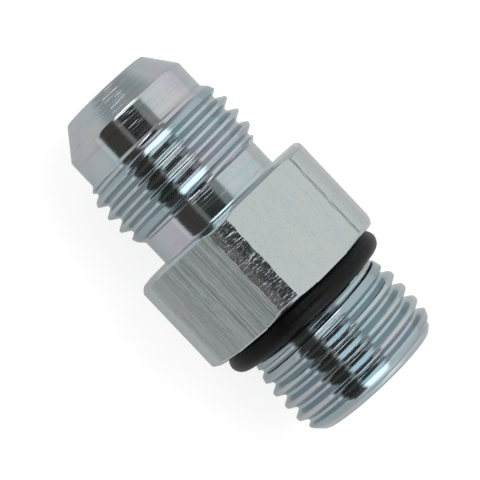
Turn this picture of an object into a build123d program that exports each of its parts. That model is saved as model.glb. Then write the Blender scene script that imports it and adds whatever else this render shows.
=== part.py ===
from build123d import *
import os
from math import ceil, radians, sqrt, tan

# Straight hydraulic adapter: a 37 degree flare end, a hexagon and an O-ring stud end.
# Millimetres. The fitting lies on one flat of its hexagon, with its axis along X.
# The origin is on the axis, in the hexagon's face that meets the port. The flare nose
# points to -X and the stud to +X.

# Hexagon, left from the drawn bar that the fitting is turned from. Its corners are turned
# down a little, and its edges are broken at both faces.
hex_across_flats = 17.4
hex_length = 9.05
hex_corner_cut = 0.5
hex_corner_chamfer = 0.45
hex_chamfer_angle = 30.0
hex_neck_edge_break = 0.3
hex_port_edge_break = 0.2

# Bore for the oil, drilled right through, with a small countersink at each end
bore_dia = 7.54
bore_nose_chamfer = 0.1
bore_stud_chamfer = 0.3

# Threads, 18 to the inch, right-handed, with 60 degree flanks
thread_pitch = 25.4 / 18
thread_flank_angle = 30.0
thread_root_width = 0.28
flare_thread_dia = 14.1
flare_thread_depth = 0.775
stud_thread_dia = 14.15
stud_thread_depth = 0.7

# How a thread fades out at its ends: a chamfer, then a longer taper up to the full crest
thread_chamfer_height = 0.3
thread_chamfer_angle = 45.0
thread_taper_angle = 22.0

# Direction in which each thread's groove starts, as a turn about X from +Y
flare_start_angle = 189.8
stud_start_angle = 144.6

# How far the shape that cuts a thread stands out beyond the crest
cutter_clearance = 0.15

# Flare end, from the nose to the hexagon. Its plain stretches lie below the thread's root.
flare_length = 13.92
nose_wall = 0.44
nose_edge_radius = 0.15
seat_half_angle = 37.0
pilot_relief = 0.175
pilot_length = 2.55
neck_relief = 0.175
neck_length = 2.45
neck_fillet = 0.3

# O-ring, a moulded rubber ring that is stretched over the stud into its groove
ring_section_dia = 1.93

# Stud end, from the hexagon to its tip. The groove and the tip lie below the thread's root.
# The O-ring's groove ends at a steep shoulder, from which the thread rises slowly.
stud_length = 9.9
ring_groove_relief = 0.225
ring_side_clearance = 0.05
ring_shoulder_height = 0.075
ring_shoulder_angle = 80.0
ring_shoulder_taper_angle = 15.4
stud_tip_relief = 0.425
stud_tip_angle = 45.0


def run(rise, angle):
    """Length along the axis over which a cone at this angle to the axis rises by so much."""
    return rise / tan(radians(angle))


# Radii that several features share
flare_root_radius = flare_thread_dia / 2 - flare_thread_depth
stud_root_radius = stud_thread_dia / 2 - stud_thread_depth
nose_radius = bore_dia / 2 + nose_wall
pilot_radius = flare_root_radius - pilot_relief
neck_radius = flare_root_radius - neck_relief
ring_groove_radius = stud_root_radius - ring_groove_relief
stud_tip_radius = stud_root_radius - stud_tip_relief

# Places along the axis that several features share
neck_face = -hex_length
nose = neck_face - flare_length
flare_thread_front = nose + run(pilot_radius - nose_radius, seat_half_angle) + pilot_length
flare_thread_back = neck_face - neck_length
stud_thread_front = ring_section_dia + ring_side_clearance


def turned(points, rounded=()):
    """Solid of revolution about X of a closed half section, with some of its corners rounded."""
    section = make_face(Polyline(*points, close=True))
    for corner, radius in rounded:
        section = fillet(section.vertices().sort_by_distance((*corner, 0))[0], radius)
    return revolve(section, Axis.X)


def thread_end(place, radius, step_radius, step_angle, taper_angle, crest_radius, inward):
    """Half section of a thread's blank from its end up to the crest. inward is 1 or -1 in X."""
    step = place + inward * run(step_radius - radius, step_angle)
    crest = step + inward * run(crest_radius - step_radius, taper_angle)
    return [(place, radius), (step, step_radius), (crest, crest_radius)]


def turned_blank():
    """The turned outside without its grooves, and a plain core where the hexagon is."""
    nose_edge = (nose, nose_radius)
    neck_corner = (neck_face, neck_radius)
    core_radius = (neck_radius + hex_across_flats / 2) / 2
    flare_fade = (
        flare_root_radius + thread_chamfer_height,
        thread_chamfer_angle,
        thread_taper_angle,
        flare_thread_dia / 2,
    )
    flare_front = thread_end(flare_thread_front, pilot_radius, *flare_fade, 1)
    flare_back = thread_end(flare_thread_back, neck_radius, *flare_fade, -1)
    stud_front = thread_end(
        stud_thread_front,
        ring_groove_radius,
        stud_root_radius + ring_shoulder_height,
        ring_shoulder_angle,
        ring_shoulder_taper_angle,
        stud_thread_dia / 2,
        1,
    )
    stud_tip = thread_end(
        stud_length,
        stud_tip_radius,
        stud_root_radius + thread_chamfer_height,
        stud_tip_angle,
        thread_taper_angle,
        stud_thread_dia / 2,
        -1,
    )
    points = [
        (nose, 0),
        nose_edge,
        (flare_thread_front - pilot_length, pilot_radius),
        *flare_front,
        *reversed(flare_back),
        neck_corner,
        (neck_face, core_radius),
        (0, core_radius),
        (0, ring_groove_radius),
        *stud_front,
        *reversed(stud_tip),
        (stud_length, 0),
    ]
    return turned(points, [(nose_edge, nose_edge_radius), (neck_corner, neck_fillet)])


def hexagon():
    """Hexagon with its corners turned to a cylinder and its edges broken at both faces."""
    outline = RegularPolygon(hex_across_flats / 2, 6, major_radius=False)
    prism = extrude(Plane.YZ * outline, -hex_length)
    faces = prism.faces().filter_by(Axis.X).sort_by(Axis.X)
    prism = chamfer(faces[0].edges(), hex_neck_edge_break)
    prism = chamfer(prism.faces().sort_by(Axis.X)[-1].edges(), hex_port_edge_break)
    corner_radius = hex_across_flats / sqrt(3) - hex_corner_cut
    face_radius = corner_radius - run(hex_corner_chamfer, hex_chamfer_angle)
    corners = turned(
        [
            (neck_face, 0),
            (neck_face, face_radius),
            (neck_face + hex_corner_chamfer, corner_radius),
            (-hex_corner_chamfer, corner_radius),
            (0, face_radius),
            (0, 0),
        ]
    )
    return prism & corners


def groove_turn(crest_radius, root_radius):
    """One turn about Z of a thread's 60 degree groove, open to just beyond the crest."""
    outer_radius = crest_radius + cutter_clearance
    half_root = thread_root_width / 2
    half_outer = half_root + (outer_radius - root_radius) * tan(radians(thread_flank_angle))
    corners = [
        (root_radius, -half_root),
        (outer_radius, -half_outer),
        (outer_radius, half_outer),
        (root_radius, half_root),
    ]
    rails = [
        Edge.make_helix(thread_pitch, thread_pitch, radius, center=(0, 0, height)).edge()
        for radius, height in corners
    ]
    walls = [Face.make_surface_from_curves(rails[i - 1], rails[i]) for i in range(len(rails))]
    mouths = [Face(Wire.make_polygon([rail @ end for rail in rails])) for end in (0, 1)]
    return Solid(Shell(walls + mouths))


def cut_thread(body, front, back, crest_radius, root_radius, start_angle):
    """Body with a right-hand groove cut turn by turn, from half a pitch before the thread."""
    turn = Rot(0, 90, 0) * groove_turn(crest_radius, root_radius)
    # The groove starts at +X, which that tilt takes to -Z: 90 degrees before +Y about X.
    turn = Rot(start_angle + 90, 0, 0) * turn
    first = front - thread_pitch / 2
    for count in range(ceil((back - first) / thread_pitch)):
        body -= Pos(first + count * thread_pitch, 0, 0) * turn
    return body


def bore():
    """Through bore with its countersinks."""
    radius = bore_dia / 2
    return turned(
        [
            (nose, 0),
            (nose, radius + bore_nose_chamfer),
            (nose + bore_nose_chamfer, radius),
            (stud_length - bore_stud_chamfer, radius),
            (stud_length, radius + bore_stud_chamfer),
            (stud_length, 0),
        ]
    )


def fitting_body():
    """The one-piece steel body."""
    body = cut_thread(
        turned_blank() + hexagon(),
        flare_thread_front,
        flare_thread_back,
        flare_thread_dia / 2,
        flare_root_radius,
        flare_start_angle,
    )
    body = cut_thread(
        body,
        stud_thread_front,
        stud_length,
        stud_thread_dia / 2,
        stud_root_radius,
        stud_start_angle,
    )
    return body - bore()


def o_ring():
    """Round-section ring that touches the groove's floor and the hexagon's face."""
    section_radius = ring_section_dia / 2
    section = Pos(section_radius, ring_groove_radius + section_radius) * Circle(section_radius)
    return revolve(section, Axis.X)


os.makedirs("parts", exist_ok=True)
export_step(fitting_body(), "parts/fitting_body.step")
export_step(o_ring(), "parts/o_ring.step")
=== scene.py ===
from math import acos, ceil, cos, floor, pi, radians, sin, tan, tau

import bmesh
import bpy
from mathutils import Matrix, Vector, noise


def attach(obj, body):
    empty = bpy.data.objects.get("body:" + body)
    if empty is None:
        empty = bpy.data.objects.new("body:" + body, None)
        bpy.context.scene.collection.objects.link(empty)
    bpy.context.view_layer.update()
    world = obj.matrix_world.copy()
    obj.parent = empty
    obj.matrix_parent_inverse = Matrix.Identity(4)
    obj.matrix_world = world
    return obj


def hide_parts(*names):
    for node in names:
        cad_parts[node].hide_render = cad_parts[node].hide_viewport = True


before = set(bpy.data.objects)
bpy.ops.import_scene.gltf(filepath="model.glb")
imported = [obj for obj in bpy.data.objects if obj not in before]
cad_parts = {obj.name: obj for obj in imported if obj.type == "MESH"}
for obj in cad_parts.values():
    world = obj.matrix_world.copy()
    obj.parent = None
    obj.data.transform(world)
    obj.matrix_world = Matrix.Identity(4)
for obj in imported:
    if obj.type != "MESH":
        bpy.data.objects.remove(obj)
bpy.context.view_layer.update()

# Camera: it stands above the fitting's -Y side and looks down across the hexagon, with a long
# lens, and is rolled so that the flare end points to the upper left of the picture.
mm = 0.001
view_elevation = radians(65.5)
view_swing = radians(2.31)
view_roll = radians(46.62)
view_distance = 167.25 * mm
view_focal_length = 151.0
aim_along = -6.32 * mm
aim_down = 0.29 * mm
along_fitting = Vector((1, 0, 0))
toward_camera = Vector((0, -cos(view_elevation), sin(view_elevation)))
down_the_side = Vector((0, -sin(view_elevation), -cos(view_elevation)))

swung_axis = along_fitting * cos(view_swing) + toward_camera * sin(view_swing)
backward = toward_camera * cos(view_swing) - along_fitting * sin(view_swing)
right = swung_axis * cos(view_roll) - down_the_side * sin(view_roll)
up = -swung_axis * sin(view_roll) - down_the_side * cos(view_roll)
camera_place = along_fitting * aim_along + down_the_side * aim_down + backward * view_distance

lens = bpy.data.cameras.new("camera")
lens.sensor_width = 36.0
lens.lens = view_focal_length
lens.clip_start = 10 * mm
camera = bpy.data.objects.new("camera", lens)
camera.matrix_world = (
    Matrix.Translation(camera_place) @ Matrix((right, up, backward)).transposed().to_4x4()
)
bpy.context.scene.collection.objects.link(camera)
bpy.context.scene.camera = camera

# Body: one piece of free-cutting steel, turned from drawn hexagon bar, drilled through, then
# threaded and zinc plated. From the nose: flare cone, pilot, thread, neck, hexagon, O-ring
# groove, thread and chamfered tip.
columns = 252
corner_step = columns // 6
weld = 0.002 * mm
crease_angle = radians(34)

# The hexagon. Its corners are turned to narrow lands, which waver a little. One of them keeps
# the finish of the flats.
hex_half_width = 8.7 * mm
hex_length = 9.05 * mm
hex_rows = 36
land_columns = 4
land_crease_angle = radians(8)
hex_corner_radius = hex_half_width / cos(pi / 6 - land_columns * tau / columns)
corner_chamfer = 0.45 * mm
corner_chamfer_slope = 1 / tan(radians(30))
neck_edge_break = 0.3 * mm
port_edge_break = 0.1 * mm
edge_rounding = 0.035 * mm
corner_waviness = 0.055 * mm
corner_waves = 1.1 / mm
corner_wave_offset = 7.3
corner_wave_fade = 0.25
untouched_corner = 1

# The turned ends and the bore
nose_x = -22.97 * mm
nose_radius = 4.21 * mm
nose_rounding = 0.15 * mm
bore_radius = 3.77 * mm
bore_nose_chamfer = 0.1 * mm
bore_stud_chamfer = 0.3 * mm
bore_steps = 12
pilot_radius = 6.1 * mm
seat_half_angle = radians(37)
seat_rounding = 0.12 * mm
neck_radius = 6.1 * mm
neck_fillet = 0.3 * mm
groove_radius = 6.15 * mm
groove_fillet = 0.1 * mm
port_face_radius = groove_radius + 1.2 * mm
stud_x = 9.9 * mm
stud_tip_radius = 5.95 * mm
tip_rounding = 0.06 * mm
rounding_steps = 4
rounding_guard = 1.5

# The threads, 18 to the inch, right-handed, with 60 degree flanks. Each fades out at its ends
# under a chamfer and then a longer taper. The groove's middle crosses the +Y side at groove_x.
thread_rows = 24
row_crowding = 0.45
all_threads = dict(
    pitch=25.4 / 18 * mm,
    root_width=0.28 * mm,
    flank_slope=1 / tan(radians(30)),
    rounding=0.12 * mm,
    front_step_slope=tan(radians(45)),
    front_taper_slope=tan(radians(22)),
    back_step_slope=tan(radians(45)),
    back_taper_slope=tan(radians(22)),
)
flare_thread = all_threads | dict(
    front=-17.912 * mm,
    front_radius=pilot_radius,
    front_step_radius=6.575 * mm,
    back=-11.5 * mm,
    back_radius=neck_radius,
    back_step_radius=6.575 * mm,
    crest_radius=7.05 * mm,
    root_radius=6.275 * mm,
    groove_x=-15.128 * mm,
)
stud_thread = all_threads | dict(
    front=1.98 * mm,
    front_radius=groove_radius,
    front_step_radius=6.45 * mm,
    front_step_slope=tan(radians(80)),
    front_taper_slope=tan(radians(15.4)),
    back=stud_x - tip_rounding,
    back_radius=stud_tip_radius + tip_rounding,
    back_step_radius=6.675 * mm,
    crest_radius=7.075 * mm,
    root_radius=6.375 * mm,
    groove_x=3.53 * mm,
)


class Wire:
    """A node tree's output socket: arithmetic adds Math nodes, and node() adds any other node."""

    def __init__(self, tree, socket=None):
        self.tree = tree
        self.socket = socket

    def __getitem__(self, name):
        return Wire(self.tree, self.socket.node.outputs[name])

    def node(self, kind, settings=None, sockets=None):
        """The first output of a new node, which is set up before its sockets are filled."""
        made = self.tree.nodes.new(kind)
        for name, value in (settings or {}).items():
            setattr(made, name, value)
        for name, value in (sockets or {}).items():
            if isinstance(value, Wire):
                self.tree.links.new(value.socket, made.inputs[name])
            else:
                made.inputs[name].default_value = value
        return Wire(self.tree, made.outputs[0] if made.outputs else None)

    def math(self, operation, *others):
        values = dict(enumerate((self, *others)))
        return self.node("ShaderNodeMath", {"operation": operation}, values)

    def __add__(self, other):
        return self.math("ADD", other)

    __radd__ = __add__

    def __mul__(self, other):
        return self.math("MULTIPLY", other)

    __rmul__ = __mul__

    def __sub__(self, other):
        return self.math("SUBTRACT", other)

    def __rsub__(self, other):
        return self.node("ShaderNodeMath", {"operation": "SUBTRACT"}, {0: other, 1: self})

    def __truediv__(self, other):
        return self.math("DIVIDE", other)

    def __neg__(self):
        return self * -1


def shape_tree(name, sizes, counts):
    """Inputs of a new geometry tree, which has named sizes, named counts and a finish."""
    tree = bpy.data.node_groups.new(name, "GeometryNodeTree")
    inputs = [(key, "NodeSocketFloat") for key in sizes] + [(key, "NodeSocketInt") for key in counts]
    for key, kind in inputs + [("finish", "NodeSocketMaterial")]:
        tree.interface.new_socket(name=key, in_out="INPUT", socket_type=kind)
    tree.interface.new_socket(name="shape", in_out="OUTPUT", socket_type="NodeSocketGeometry")
    return Wire(tree).node("NodeGroupInput")


def flat_grid(size, width, depth, steps_across, steps_deep):
    """A flat grid about the middle, and the X and Y of its points."""
    grid = size.node(
        "GeometryNodeMeshGrid",
        sockets={
            "Size X": width,
            "Size Y": depth,
            "Vertices X": steps_across + 1,
            "Vertices Y": steps_deep + 1,
        },
    )
    flat = size.node("ShaderNodeSeparateXYZ", sockets={0: size.node("GeometryNodeInputPosition")})
    return grid, flat["X"], flat["Y"]


def wound_shape(size, grid, x, radius, angle):
    """Ends a tree: winds the grid about the axis, welds its seams and gives it its finish."""
    spot = size.node(
        "ShaderNodeCombineXYZ",
        sockets={0: x, 1: radius * angle.math("COSINE"), 2: radius * angle.math("SINE")},
    )
    shape = size.node("GeometryNodeSetPosition", sockets={"Geometry": grid, "Position": spot})
    shape = size.node("GeometryNodeMergeByDistance", sockets={"Geometry": shape, "Distance": weld})
    shape = size.node("GeometryNodeSetShadeSmooth", sockets={0: shape})
    shape = size.node("GeometryNodeRealizeInstances", sockets={0: shape})
    shape = size.node(
        "GeometryNodeSetMaterial", sockets={"Geometry": shape, "Material": size["finish"]}
    )
    size.node("NodeGroupOutput", sockets={0: shape})


def grown(tree, values):
    """Plain mesh that a geometry tree makes from values for its named inputs."""
    holder = bpy.data.objects.new(tree.name, bpy.data.meshes.new(tree.name))
    bpy.context.scene.collection.objects.link(holder)
    modifier = holder.modifiers.new(tree.name, "NODES")
    modifier.node_group = tree
    for item in tree.interface.items_tree:
        if item.in_out == "INPUT":
            modifier[item.identifier] = values[item.name]
    shown = holder.evaluated_get(bpy.context.evaluated_depsgraph_get())
    mesh = bpy.data.meshes.new_from_object(shown)
    holder.modifiers.remove(modifier)
    bpy.data.objects.remove(holder)
    return mesh


def thread_tree():
    """A thread as one helical band, a pitch wide, wound turn against turn."""
    size = shape_tree("screw_thread", stud_thread, ("first_turn", "turns", "columns", "rows"))
    grid, x, y = flat_grid(size, size["turns"], 1.0, size["turns"] * size["columns"], size["rows"])
    turn = x + size["turns"] / 2
    # Rows crowd together at the crest and the root, where the band bends.
    even = y + 0.5
    across = even - (even * (2 * tau)).math("SINE") * (row_crowding / (2 * tau))
    x = size["groove_x"] + size["pitch"] * (size["first_turn"] + turn + across)
    x = x.math("MAXIMUM", size["front"]).math("MINIMUM", size["back"])
    from_groove = size["pitch"] * across.math("MINIMUM", 1 - across)
    flank = size["root_radius"] + (from_groove - size["root_width"] / 2) * size["flank_slope"]
    ridge = flank.math("SMOOTH_MAX", size["root_radius"], size["rounding"])
    radius = ridge.math("SMOOTH_MIN", size["crest_radius"], size["rounding"])
    for end, inward in (("front", x - size["front"]), ("back", size["back"] - x)):
        step_radius = size[end + "_step_radius"]
        step_run = (step_radius - size[end + "_radius"]) / size[end + "_step_slope"]
        taper = step_radius + (inward - step_run) * size[end + "_taper_slope"]
        step = size[end + "_radius"] + inward * size[end + "_step_slope"]
        radius = radius.math("SMOOTH_MIN", taper, size["rounding"])
        radius = radius.math("SMOOTH_MIN", step, size["rounding"])
    wound_shape(size, grid, x, radius, turn * tau)
    return size.tree


def thread_band(tree, finish, sizes):
    """Mesh of one thread, in whole turns from the place where its groove is known."""
    first_turn = floor((sizes["front"] - sizes["groove_x"]) / sizes["pitch"]) - 1
    last_turn = ceil((sizes["back"] - sizes["groove_x"]) / sizes["pitch"])
    counts = dict(first_turn=first_turn, turns=last_turn - first_turn)
    steps = dict(columns=columns, rows=thread_rows)
    return grown(tree, sizes | counts | steps | dict(finish=finish))


def principled(name, constants):
    """A new material, its object coordinates, and its shader with the constants set."""
    material = bpy.data.materials.new(name)
    material.use_nodes = True
    material.node_tree.nodes.clear()
    place = Wire(material.node_tree).node("ShaderNodeTexCoord")["Object"]
    shader = place.node("ShaderNodeBsdfPrincipled", sockets=constants)
    place.node("ShaderNodeOutputMaterial", sockets={"Surface": shader})
    return material, place, shader.socket.node


def feed(shader, **links):
    """Links wires to the shader's sockets, whose names have underscores for spaces here."""
    for name, wire in links.items():
        wire.tree.links.new(wire.socket, shader.inputs[name.replace("_", " ")])


def out_from_axis(place):
    """The parts of a place, and its distance from the fitting's axis."""
    parts = place.node("ShaderNodeSeparateXYZ", sockets={0: place})
    return parts, (parts["Y"] * parts["Y"] + parts["Z"] * parts["Z"]).math("SQRT")


def stretched_noise(place, scale, detail=2.0, roughness=0.5):
    """Noise from 0 to 1 with its own number of waves to the metre along each axis."""
    mapped = place.node("ShaderNodeMapping", sockets={"Vector": place, "Scale": scale})
    return place.node(
        "ShaderNodeTexNoise",
        sockets={"Vector": mapped, "Scale": 1.0, "Detail": detail, "Roughness": roughness},
    )


def colour_mix(factor, first, second):
    """Blend of two colours by a factor from 0 to 1."""
    mixed = factor.node(
        "ShaderNodeMix",
        {"data_type": "RGBA", "clamp_factor": True},
        {"Factor": factor, 6: first, 7: second},
    )
    return Wire(mixed.tree, mixed.socket.node.outputs[2])


def stepped(value, low, high):
    """0 below low, 1 above high, and a smooth step between."""
    return value.node(
        "ShaderNodeMapRange",
        {"interpolation_type": "SMOOTHSTEP"},
        {"Value": value, "From Min": low, "From Max": high},
    )


def hump(value, middle, width):
    """1 where the value is at the middle, and a bell's slopes to both sides."""
    off = (value - middle) / width
    return (-(off * off)).math("EXPONENT")


def relief(height, depth):
    """Normal of a surface whose height runs from 0 to 1 over a depth in metres."""
    return height.node(
        "ShaderNodeBump", sockets={"Height": height, "Distance": depth, "Strength": 1.0}
    )


# Turned surfaces: bright zinc plate with a clear passivation, which tints it faintly teal,
# violet and straw, over the fine rings that the lathe tool left. Thread flanks are painted
# bluer and darker, which is partly a tint and partly painted shade in the grooves.
zinc_colour = (0.595, 0.655, 0.685, 1)
zinc_teal = (0.50, 0.64, 0.67, 1)
zinc_violet = (0.63, 0.61, 0.69, 1)
zinc_straw = (0.66, 0.66, 0.62, 1)
# Flank colour: partly a blue tint and partly painted shade in the thread grooves.
flank_blue_and_shade = (0.39, 0.49, 0.53, 1)
zinc_dull = (0.40, 0.455, 0.46, 1)
zinc_plate = {"Metallic": 1.0, "Base Color": zinc_colour}
tool_ring_depth = 0.035 * mm
thread_smoothness = 0.65

turned_zinc, place, shader = principled("turned_zinc", zinc_plate)
parts, out = out_from_axis(place)
tool_rings = stretched_noise(place, (7500, 90, 90), 2.0, 0.6)
scratches = stepped(stretched_noise(place, (5200, 330, 330), 1.0), 0.56, 0.70)
grains = stretched_noise(place, (9000, 9000, 9000), 1.0)
patches = stretched_noise(place, (420, 300, 300), 2.0)
hue = stretched_noise(place, (420, 240, 240), 1.0)
warmth = stretched_noise(place, (300, 330, 330), 1.0)
ring_marks = stretched_noise(place, (3200, 70, 70), 2.0, 0.6)
smears = stretched_noise(place, (1300, 500, 500), 3.0, 0.6)
threaded = stepped(out, 6.2 * mm, 6.3 * mm)
# Mid-depth of the threads, where the flanks lie: their colour is partly a blue tint and partly
# painted shade in the grooves.
flank = stepped(out, 6.32 * mm, 6.45 * mm) * stepped(out, 7.0 * mm, 6.8 * mm)
dull = stepped(ring_marks, 0.50, 0.72) * 0.42 + stepped(smears, 0.52, 0.72) * 0.22
tint = colour_mix(stepped(hue, 0.48, 0.72), zinc_colour, zinc_violet)
tint = colour_mix(stepped(hue, 0.50, 0.30), tint, zinc_teal)
tint = colour_mix(stepped(warmth, 0.50, 0.75) * 0.7, tint, zinc_straw)
tint = colour_mix(dull * (1 - threaded * 0.5), tint, zinc_dull)
tint = colour_mix(flank * 0.8, tint, flank_blue_and_shade)
marks = (tool_rings * 0.8 + scratches * 0.15) * (1 - threaded * thread_smoothness)
feed(
    shader,
    Base_Color=tint,
    Roughness=0.08 + 0.07 * patches,
    Normal=relief(marks + grains * 0.04, tool_ring_depth),
)

# Flats: the skin of the cold-drawn bar, plated. The drawing die left long fine lines along it,
# and scored one flat most. That flat is painted darker grey, partly wear along its lines and
# partly painted shade, which fades out at its lower edge. A lip stands along the upper edges,
# where the corners were turned, with a painted highlight on it on the scored flat, and a dark
# jagged line runs beside the corners on the +Y side.
flat_pale = (0.59, 0.655, 0.66, 1)
flat_straw = (0.63, 0.68, 0.66, 1)
pit_grey = (0.42, 0.46, 0.46, 1)
# Grey of the scored flat: partly die-line wear and partly painted shade.
worn_and_shaded_grey = (0.30, 0.335, 0.34, 1)
score_black = (0.10, 0.11, 0.11, 1)
jag_grey = (0.22, 0.24, 0.24, 1)
# Painted highlight along the lip.
painted_lip_highlight = (0.80, 0.83, 0.82, 1)
scored_flat_tilt = radians(30)
sway_reach = 0.16 * mm
mean_wear_and_shade = 0.34
score_width = 0.04 * mm
score_wander = 0.08 * mm
deep_scores = ((-3.79 * mm, 0.9), (-3.12 * mm, 1.0), (-1.08 * mm, 0.6), (-0.27 * mm, 0.7))
lip_out = 9.49 * mm
lip_width = 0.05 * mm
lip_wander = 0.03 * mm
jag_out = 9.46 * mm
jag_width = 0.014 * mm
jag_wander = 0.16 * mm
jag_roughness = 0.06 * mm
die_line_depth = 0.05 * mm

drawn_zinc, place, shader = principled("drawn_zinc", zinc_plate)
parts, out = out_from_axis(place)
off_flat = parts["Z"] * sin(scored_flat_tilt) - parts["Y"] * cos(scored_flat_tilt)
down_flat = parts["Y"] * -sin(scored_flat_tilt) - parts["Z"] * cos(scored_flat_tilt)
scored = stepped(off_flat, 8.60 * mm, 8.68 * mm)
sway = place.node(
    "ShaderNodeTexNoise", sockets={"Vector": place, "Scale": 900.0, "Detail": 2.0}
)["Color"]
swayed = place.node(
    "ShaderNodeVectorMath",
    {"operation": "MULTIPLY_ADD"},
    {0: sway, 1: (0, sway_reach, sway_reach), 2: place},
)
die_lines = stretched_noise(swayed, (160, 7600, 7600), 2.0, 0.6)
broad_lines = stretched_noise(swayed, (60, 2400, 2400), 2.0)
pits = stretched_noise(place, (4500, 4500, 4500), 3.0)
patches = stretched_noise(place, (250, 900, 900), 3.0)
wander = stretched_noise(place, (700, 0, 0), 2.0)

# The lip: a bump along the upper edges, and on the scored flat also a painted highlight.
lip_and_highlight = stepped(out + (wander - 0.5) * lip_wander, lip_out, lip_out + lip_width)
lip_and_highlight = lip_and_highlight * stepped(down_flat, 1 * mm, -1 * mm)
jag = (wander - 0.5) * jag_wander + (pits - 0.5) * jag_roughness
jagged_line = hump(out + jag, jag_out, jag_width) * stepped(parts["Y"], 1 * mm, 2 * mm)
scores = 0
for score_place, strength in deep_scores:
    score = hump(down_flat + wander * score_wander, score_place, score_width)
    scores = scores + score * strength
# The scored flat is painted darker all over, partly wear along its die lines and partly painted
# shade, with less variation lower down and none at its lower edge.
wear_and_shade = stepped(die_lines * 0.65 + broad_lines * 0.35, 0.58, 0.40) * 0.62 + 0.28
softer_below = 0.4 + 0.6 * stepped(down_flat, 3.0 * mm, 0.3 * mm)
wear_and_shade = mean_wear_and_shade + (wear_and_shade - mean_wear_and_shade) * softer_below
wear_and_shade = wear_and_shade * stepped(down_flat, 4.2 * mm, 3.4 * mm)
dull = stepped(pits, 0.54, 0.70) * 0.42 + stepped(broad_lines, 0.56, 0.72) * 0.14

tint = colour_mix(stepped(patches, 0.3, 0.7), flat_pale, flat_straw)
tint = colour_mix(dull, tint, pit_grey)
tint = colour_mix(scored * wear_and_shade, tint, worn_and_shaded_grey)
tint = colour_mix(scored * scores * 0.8, tint, score_black)
tint = colour_mix((1 - scored) * jagged_line * 0.9, tint, jag_grey)
tint = colour_mix(scored * lip_and_highlight * 0.7, tint, painted_lip_highlight)
lines = (die_lines * 0.5 + broad_lines * 0.4) * (scored * 0.85 + 0.15)
feed(
    shader,
    Base_Color=tint,
    Roughness=0.24 + 0.12 * patches,
    Normal=relief(lines + pits * 0.1 + lip_and_highlight * 0.6, die_line_depth),
)

# Corner lands: the tool only skimmed them, and chattered, so they are crossed by short bright
# marks.
chatter_depth = 0.06 * mm
skimmed_zinc, place, shader = principled("skimmed_zinc", zinc_plate)
chatter = stretched_noise(place, (5200, 800, 800), 2.0, 0.6)
specks = stretched_noise(place, (6500, 6500, 6500), 2.0)
feed(
    shader,
    Roughness=0.10 + 0.12 * specks,
    Normal=relief(chatter * 0.85 + specks * 0.15, chatter_depth),
)
body_finishes = (turned_zinc, drawn_zinc, skimmed_zinc)


def column_angle(column):
    """Angle of a column of points round the axis, from +Y towards +Z."""
    return column * tau / columns


def profile_rings(points):
    """Rings of a profile of (x, radius, rounding), with each rounding as a short curve."""
    spots = [Vector(point[:2]) for point in points]
    path = []
    for i, (spot, (_, _, size)) in enumerate(zip(spots, points)):
        if not size:
            path.append(spot)
            continue
        inward = (spots[i - 1] - spot).normalized() * size
        outward = (spots[i + 1] - spot).normalized() * size
        path.append(spot + inward * rounding_guard)
        for step in range(rounding_steps + 1):
            t = step / rounding_steps
            path.append(spot + inward * (1 - t) ** 2 + outward * t**2)
        path.append(spot + outward * rounding_guard)
    return [[(x, radius, column_angle(column)) for column in range(columns)] for x, radius in path]


def hexagon_end(angle_off_flat, edge_break):
    """(depth from the face, radius) along one of the hexagon's ends, at an angle off a flat."""
    side = min(hex_half_width / cos(angle_off_flat), hex_corner_radius)
    face_radius = hex_corner_radius - corner_chamfer * corner_chamfer_slope
    break_slope = 1 / cos(angle_off_flat)
    break_radius = (hex_half_width - edge_break) * break_slope

    def radius(depth):
        return min(
            break_radius + depth * break_slope, face_radius + depth * corner_chamfer_slope, side
        )

    last = max((side - break_radius) / break_slope, (side - face_radius) / corner_chamfer_slope)
    crossing = (break_radius - face_radius) / (corner_chamfer_slope - break_slope)
    middle = crossing if 0 < crossing < last else last / 2
    depths = (0, middle, last - edge_rounding)
    return [(depth, radius(depth)) for depth in depths] + [(last + edge_rounding, side)]


def side_point(column, off_flat, x, share):
    """(x, radius, angle) on the hexagon's side, at a share of the way along it."""
    corner = round(column / corner_step)
    from_corner = column - corner * corner_step
    wave = noise.noise(Vector((x * corner_waves, corner % 6 * corner_wave_offset, 0)))
    corner_radius = hex_corner_radius + corner_waviness * wave * sin(pi * share) ** corner_wave_fade
    if abs(from_corner) < land_columns:
        return x, corner_radius, column_angle(column)
    if abs(from_corner) > land_columns:
        return x, hex_half_width / cos(off_flat), column_angle(column)
    edge = pi / 6 - acos(hex_half_width / corner_radius)
    turned = edge if from_corner > 0 else -edge
    return x, corner_radius, column_angle(corner * corner_step) + turned


def hexagon_rings():
    """Rings from the hexagon's neck face over its sides to its port face."""
    off_flat = [
        abs(column % corner_step - corner_step / 2) * tau / columns for column in range(columns)
    ]
    neck_ends = [hexagon_end(angle, neck_edge_break) for angle in off_flat]
    port_ends = [hexagon_end(angle, port_edge_break) for angle in off_flat]
    neck_rings = [
        [(end[i][0] - hex_length, end[i][1], column_angle(c)) for c, end in enumerate(neck_ends)]
        for i in range(3)
    ]
    port_rings = [
        [(-end[i][0], end[i][1], column_angle(c)) for c, end in enumerate(port_ends)]
        for i in (2, 1, 0)
    ]
    side_rings = []
    for row in range(hex_rows + 1):
        share = row / hex_rows
        ring = []
        for column in range(columns):
            start = neck_ends[column][-1][0] - hex_length
            stop = -port_ends[column][-1][0]
            x = start + (stop - start) * share
            ring.append(side_point(column, off_flat[column], x, share))
        side_rings.append(ring)
    return neck_rings + side_rings + port_rings


def add_rings(bm, rings):
    """Skins a stack of rings, and returns its faces ring by ring."""
    skins = []
    below = None
    for ring in rings:
        above = [bm.verts.new((x, r * cos(angle), r * sin(angle))) for x, r, angle in ring]
        if below:
            skins.append(
                [
                    bm.faces.new((below[i - 1], below[i], above[i], above[i - 1]))
                    for i in range(columns)
                ]
            )
        below = above
    return skins


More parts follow.
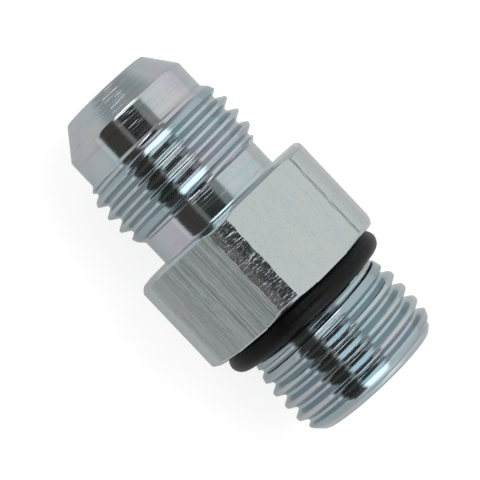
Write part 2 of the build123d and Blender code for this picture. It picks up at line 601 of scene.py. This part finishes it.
def finish_sides(skins):
    """Gives the hexagon's side faces the flats' or the lands' finish, and returns them."""
    side_faces = set()
    for skin in skins:
        for column, face in enumerate(skin):
            corner = round((column - 0.5) / corner_step)
            from_corner = column - 0.5 - corner * corner_step
            skimmed = abs(from_corner) < land_columns and corner != untouched_corner
            face.material_index = body_finishes.index(skimmed_zinc if skimmed else drawn_zinc)
            side_faces.add(face)
    return side_faces


def body_mesh():
    """The whole body as one closed mesh."""
    bm = bmesh.new()
    tree = thread_tree()
    for thread in (flare_thread, stud_thread):
        bm.from_mesh(thread_band(tree, turned_zinc, thread))
    for face in bm.faces:
        face.material_index = body_finishes.index(turned_zinc)
    bore_front = nose_x + bore_nose_chamfer
    bore_back = stud_x - bore_stud_chamfer
    seat_end = nose_x + (pilot_radius - nose_radius) / tan(seat_half_angle)
    tip = [
        (stud_thread["back"], stud_thread["back_radius"], 0),
        (stud_x, stud_tip_radius - tip_rounding / 2, 0),
        (stud_x, bore_radius + bore_stud_chamfer, 0),
    ]
    bore = [
        (bore_back + (bore_front - bore_back) * step / bore_steps, bore_radius, 0)
        for step in range(bore_steps + 1)
    ]
    nose = [
        (nose_x, bore_radius + bore_nose_chamfer, 0),
        (nose_x, nose_radius, nose_rounding),
        (seat_end, pilot_radius, seat_rounding),
        (flare_thread["front"], pilot_radius, 0),
    ]
    neck = [
        (flare_thread["back"], neck_radius, 0),
        (-hex_length, neck_radius, neck_fillet),
        (-hex_length, neck_radius + 3 * neck_fillet, 0),
    ]
    port = [
        (0, port_face_radius, 0),
        (0, groove_radius, groove_fillet),
        (stud_thread["front"], groove_radius, 0),
    ]
    add_rings(bm, profile_rings(tip + bore + nose))
    neck_rings = profile_rings(neck)
    skins = add_rings(bm, neck_rings + hexagon_rings() + profile_rings(port))
    # The hexagon starts with three rings on its neck face, and its side begins at the third.
    first = len(neck_rings) + 2
    side_faces = finish_sides(skins[first : first + hex_rows + 1])
    bmesh.ops.remove_doubles(bm, verts=bm.verts, dist=weld)
    bmesh.ops.recalc_face_normals(bm, faces=bm.faces)
    for face in bm.faces:
        face.smooth = True
    for edge in bm.edges:
        bend = edge.calc_face_angle(0)
        lengthwise = abs(edge.verts[0].co.x - edge.verts[1].co.x) > edge.calc_length() / 2
        beside_land = side_faces.issuperset(edge.link_faces) and lengthwise
        if bend > (land_crease_angle if beside_land else crease_angle):
            edge.smooth = False
    mesh = bpy.data.meshes.new("zinc_plated_body")
    bm.to_mesh(mesh)
    bm.free()
    for finish in body_finishes:
        mesh.materials.append(finish)
    return mesh


body = bpy.data.objects.new("zinc_plated_body", body_mesh())
bpy.context.scene.collection.objects.link(body)
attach(body, "root")
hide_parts("fitting_body")

# O-ring: moulded black rubber of round section, stretched over the stud thread into the groove
# beside the hexagon. A faint line runs round it where the mould's halves met.
section_radius = 0.965 * mm
ring_sizes = dict(
    ring_radius=groove_radius + section_radius,
    section_radius=section_radius,
    line_height=0.012 * mm,
    line_width=0.1,
    middle=section_radius,
)
ring_counts = dict(turn_steps=192, section_steps=48)
rubber_black = (0.004, 0.004, 0.0045, 1)
rubber_grey = (0.010, 0.011, 0.012, 1)
rubber_sheen = 0.16
grain_depth = 0.004 * mm


def ring_tree():
    """A round ring with a mould line on its outer side."""
    size = shape_tree("rubber_ring", ring_sizes, ring_counts)
    grid, turn, around = flat_grid(size, tau, tau, size["turn_steps"], size["section_steps"])
    line = around / size["line_width"]
    section = size["section_radius"] + size["line_height"] * (-(line * line)).math("EXPONENT")
    radius = size["ring_radius"] + section * around.math("COSINE")
    x = size["middle"] + section * around.math("SINE")
    wound_shape(size, grid, x, radius, turn)
    return size.tree


black_rubber, place, shader = principled("black_rubber", {"Specular IOR Level": rubber_sheen})
grain = stretched_noise(place, (3000, 3000, 3000), 3.0)
smears = stretched_noise(place, (300, 300, 300), 2.0)
feed(
    shader,
    Base_Color=colour_mix(stepped(grain, 0.45, 0.8), rubber_black, rubber_grey),
    Roughness=0.26 + 0.16 * smears,
    Normal=relief(grain, grain_depth),
)

ring_mesh = grown(ring_tree(), ring_sizes | ring_counts | dict(finish=black_rubber))
ring_mesh.materials.clear()
ring_mesh.materials.append(black_rubber)
bm = bmesh.new()
bm.from_mesh(ring_mesh)
for face in bm.faces:
    face.material_index = 0
bmesh.ops.recalc_face_normals(bm, faces=bm.faces)
bm.to_mesh(ring_mesh)
bm.free()
ring = bpy.data.objects.new("rubber_o_ring", ring_mesh)
bpy.context.scene.collection.objects.link(ring)
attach(ring, "root")
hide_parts("o_ring")

# Floor: a sheet of white card, which the fitting lies on. It is plain and pale to the camera,
# and metal shows it as a mid grey.
floor_z = -8.7 * mm
floor_half_size = 1.5
floor_corners = ((-1, -1), (1, -1), (1, 1), (-1, 1))
floor_seen = 0.85
floor_mirrored = 0.36
floor_colour = (0.22, 0.22, 0.22, 1)
white_card = bpy.data.materials.new("white_sheet")
white_card.use_nodes = True
white_card.node_tree.nodes.clear()
ray = Wire(white_card.node_tree).node("ShaderNodeLightPath")
mirrored = ray["Is Glossy Ray"] + ray["Is Transmission Ray"]
seen = ray.node(
    "ShaderNodeEmission",
    sockets={"Strength": ray["Is Camera Ray"] * floor_seen + mirrored * floor_mirrored},
)
lit = ray.node("ShaderNodeBsdfDiffuse", sockets={"Color": floor_colour})
both = ray.node("ShaderNodeAddShader", sockets={0: seen, 1: lit})
ray.node("ShaderNodeOutputMaterial", sockets={"Surface": both})
sheet = bpy.data.meshes.new("white_sheet")
sheet.from_pydata(
    [(x * floor_half_size, y * floor_half_size, floor_z) for x, y in floor_corners],
    [],
    [(0, 1, 2, 3)],
)
sheet.materials.append(white_card)
floor_sheet = bpy.data.objects.new("white_sheet", sheet)
bpy.context.scene.collection.objects.link(floor_sheet)

# Light: a white tent round the fitting, open towards the camera. Bright metal shows the dark
# opening, its grey rim, two lamps beside it, a gap in its lower edge and the table's dark edge.
# Angles are from the camera's direction, with the lower side of the picture positive.
tent_far_white = 0.72
tent_near_white = 0.82
tent_bright_angle = radians(-62)
tent_bright_width = radians(45)
stud_side_white = 1.15
stud_side_reach = (0.86, 0.97)
nose_side_white = 0.36
nose_side_reach = (-0.60, -0.95)
lamp_side_white = 1.9
lamp_low = radians(22.5)
lamp_high = radians(-33)
lamp_inner = 0.42
lamp_outer = 0.90
lamp_edge = 0.03
opening_dark = 0.015
opening_glow = 0.26
opening_high = radians(-17)
rim_grey = 0.28
gap_angle = radians(19)
gap_half_width = radians(3.5)
gap_blur = radians(1)
gap_white = 0.22
table_edge_dark = 0.062
table_edge_low = radians(57)
table_edge_reach = (0.95, 0.8)
edge_blur = radians(2)
lamp_edge_blur = 2.5 * edge_blur
plain_white = (1, 1, 1, 1)
warm_white = (1, 0.9, 0.8, 1)
warm_angles = (radians(6), radians(20))
warm_levels = (0.4, 0.1)

tent = bpy.data.worlds.new("light_tent")
tent.use_nodes = True
tent.node_tree.nodes.clear()
bpy.context.scene.world = tent
direction = Wire(tent.node_tree).node("ShaderNodeTexCoord")["Generated"]


def along(axis):
    """How far the direction points along an axis, from -1 to 1."""
    dot = direction.node(
        "ShaderNodeVectorMath", {"operation": "DOT_PRODUCT"}, {0: direction, 1: tuple(axis)}
    )
    return dot["Value"]


def between(value, low, high, blur):
    """1 from low to high, fading over the blur at both."""
    return stepped(value, low - blur, low + blur) * stepped(value, high + blur, high - blur)


def blend(factor, first, second):
    """Number between two numbers, by a factor from 0 to 1."""
    return first + factor * (second - first)


below_camera = along(down_the_side).math("ARCTAN2", along(toward_camera))
sideways = along(along_fitting)
reach = sideways.math("ABSOLUTE")
level = blend(
    hump(below_camera, tent_bright_angle, tent_bright_width), tent_far_white, tent_near_white
)
level = blend(stepped(sideways, *stud_side_reach), level, stud_side_white)
level = blend(stepped(sideways, *nose_side_reach), level, nose_side_white)
beside = between(reach, lamp_inner, lamp_outer, lamp_edge)
beside = beside * between(below_camera, lamp_high, lamp_low, lamp_edge_blur)
level = blend(beside, level, lamp_side_white)
middle = stepped(reach, lamp_inner + lamp_edge, lamp_inner - lamp_edge)
level = blend(middle * between(below_camera, lamp_high, lamp_low, edge_blur), level, rim_grey)
dark = opening_dark + reach * reach * (opening_glow / lamp_inner**2)
level = blend(middle * between(below_camera, opening_high, lamp_low, edge_blur), level, dark)
under = between(below_camera, lamp_low, table_edge_low, edge_blur)
level = blend(under * stepped(reach, *table_edge_reach), level, table_edge_dark)
gap = between(below_camera, gap_angle - gap_half_width, gap_angle + gap_half_width, gap_blur)
level = blend(middle * gap, level, gap_white)
warm = stepped(below_camera, *warm_angles) * stepped(level, *warm_levels)
ray = direction.node("ShaderNodeLightPath")
background = direction.node(
    "ShaderNodeBackground",
    sockets={
        "Color": colour_mix(warm, plain_white, warm_white),
        "Strength": blend(ray["Is Camera Ray"], level, 1.0),
    },
)
direction.node("ShaderNodeOutputWorld", sockets={"Surface": background})

# A soft box above the fitting lights what is dull, and metal doesn't mirror it.
soft_box_size = 0.4
soft_box_energy = 1.2
soft_box_place = (0.05, 0.15, 0.45)
lamp = bpy.data.lights.new("soft_box", "AREA")
lamp.shape = "SQUARE"
lamp.size = soft_box_size
lamp.energy = soft_box_energy
soft_box = bpy.data.objects.new("soft_box", lamp)
soft_box.location = soft_box_place
soft_box.rotation_euler = (-soft_box.location).to_track_quat("-Z", "Y").to_euler()
soft_box.visible_glossy = False
bpy.context.scene.collection.objects.link(soft_box)

bpy.context.scene.view_settings.view_transform = "Standard"
